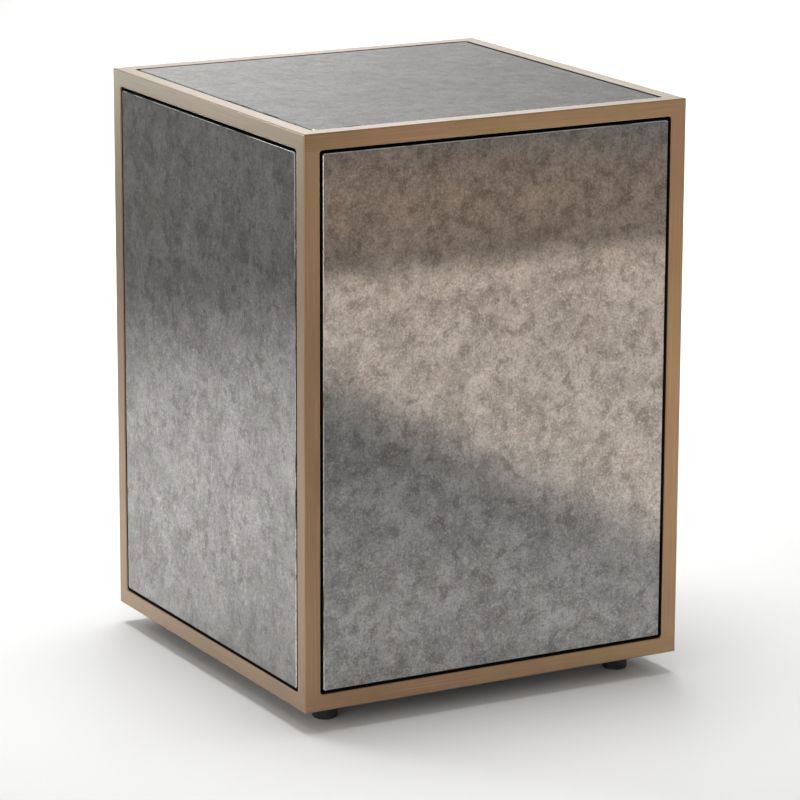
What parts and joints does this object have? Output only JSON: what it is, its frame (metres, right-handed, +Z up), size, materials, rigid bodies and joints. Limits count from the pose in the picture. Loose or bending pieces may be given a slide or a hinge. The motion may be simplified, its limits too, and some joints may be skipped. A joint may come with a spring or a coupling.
{
  "type": "mirrored side table",
  "caption": "Upright square side table: antiqued mirror panels in a slim bronze-finish tube frame, on small black levelling feet that screw in and out.",
  "frame": {"origin": "centre of the table's square footprint, on the floor, with the feet screwed in", "axes": "+Z up; -Y out of the front panel, +X to its right as seen from the front"},
  "size_m": [0.4, 0.4, 0.559],
  "materials": {
    "frame_bronze": "brushed antique bronze plating, satin",
    "antiqued_mirror": "smoky antiqued silvering under clear glass",
    "foam_tape": "matte closed-cell foam",
    "black_board": "MDF, painted matte black",
    "tab_steel": "dark lacquer over mild steel",
    "zinc_screws": "bright zinc plating",
    "zinc_hardware": "zinc plating",
    "foot_plastic": "moulded black nylon"
  },
  "bodies": {
    "table": {"top_rail_front": "frame_bronze", "top_rail_right": "frame_bronze", "top_rail_back": "frame_bronze", "top_rail_left": "frame_bronze", "bottom_rail_front": "frame_bronze", "bottom_rail_right": "frame_bronze", "bottom_rail_back": "frame_bronze", "bottom_rail_left": "frame_bronze", "post_front_left": "frame_bronze", "post_front_right": "frame_bronze", "post_back_left": "frame_bronze", "post_back_right": "frame_bronze", "mirror_front": "antiqued_mirror", "mirror_right": "antiqued_mirror", "mirror_back": "antiqued_mirror", "mirror_left": "antiqued_mirror", "mirror_top": "antiqued_mirror", "mirror_tape_front": "foam_tape", "mirror_tape_right": "foam_tape", "mirror_tape_back": "foam_tape", "mirror_tape_left": "foam_tape", "mirror_tape_top": "foam_tape", "backing_board_front": "black_board", "backing_board_right": "black_board", "backing_board_back": "black_board", "backing_board_left": "black_board", "backing_board_top": "black_board", "panel_tabs_front": "tab_steel", "panel_tabs_right": "tab_steel", "panel_tabs_back": "tab_steel", "panel_tabs_left": "tab_steel", "panel_tabs_top": "tab_steel", "panel_screws_front": "zinc_screws", "panel_screws_right": "zinc_screws", "panel_screws_back": "zinc_screws", "panel_screws_left": "zinc_screws", "panel_screws_top": "zinc_screws", "base_board": "black_board", "base_tabs": "tab_steel", "base_screws": "zinc_screws", "tee_nuts": "zinc_hardware"},
    "pad_front_left": {"foot_pad_front_left": "foot_plastic"},
    "stem_front_left": {"foot_stem_front_left": "zinc_hardware"},
    "pad_front_right": {"foot_pad_front_right": "foot_plastic"},
    "stem_front_right": {"foot_stem_front_right": "zinc_hardware"},
    "pad_back_left": {"foot_pad_back_left": "foot_plastic"},
    "stem_back_left": {"foot_stem_back_left": "zinc_hardware"},
    "pad_back_right": {"foot_pad_back_right": "foot_plastic"},
    "stem_back_right": {"foot_stem_back_right": "zinc_hardware"}
  },
  "joints": [
    {"name": "front_left_travel", "type": "slide", "parent": "table", "child": "pad_front_left", "axis": [0, 0, -1], "range_m": [0, 0.01]},
    {"name": "front_left_spin", "type": "hinge", "parent": "pad_front_left", "child": "stem_front_left", "pos_m": [-0.158, -0.158, 0.0188], "axis": [0, 0, -1], "range_deg": [0, 2881]},
    {"name": "front_right_travel", "type": "slide", "parent": "table", "child": "pad_front_right", "axis": [0, 0, -1], "range_m": [0, 0.01]},
    {"name": "front_right_spin", "type": "hinge", "parent": "pad_front_right", "child": "stem_front_right", "pos_m": [0.158, -0.158, 0.0188], "axis": [0, 0, -1], "range_deg": [0, 2881]},
    {"name": "back_left_travel", "type": "slide", "parent": "table", "child": "pad_back_left", "axis": [0, 0, -1], "range_m": [0, 0.01]},
    {"name": "back_left_spin", "type": "hinge", "parent": "pad_back_left", "child": "stem_back_left", "pos_m": [-0.158, 0.158, 0.0188], "axis": [0, 0, -1], "range_deg": [0, 2881]},
    {"name": "back_right_travel", "type": "slide", "parent": "table", "child": "pad_back_right", "axis": [0, 0, -1], "range_m": [0, 0.01]},
    {"name": "back_right_spin", "type": "hinge", "parent": "pad_back_right", "child": "stem_back_right", "pos_m": [0.158, 0.158, 0.0188], "axis": [0, 0, -1], "range_deg": [0, 2881]}
  ],
  "couplings": [
    {"joint": "front_left_spin", "follows": "front_left_travel", "rad_per_m": 5026.5},
    {"joint": "front_right_spin", "follows": "front_right_travel", "rad_per_m": 5026.5},
    {"joint": "back_left_spin", "follows": "back_left_travel", "rad_per_m": 5026.5},
    {"joint": "back_right_spin", "follows": "back_right_travel", "rad_per_m": 5026.5}
  ]
}
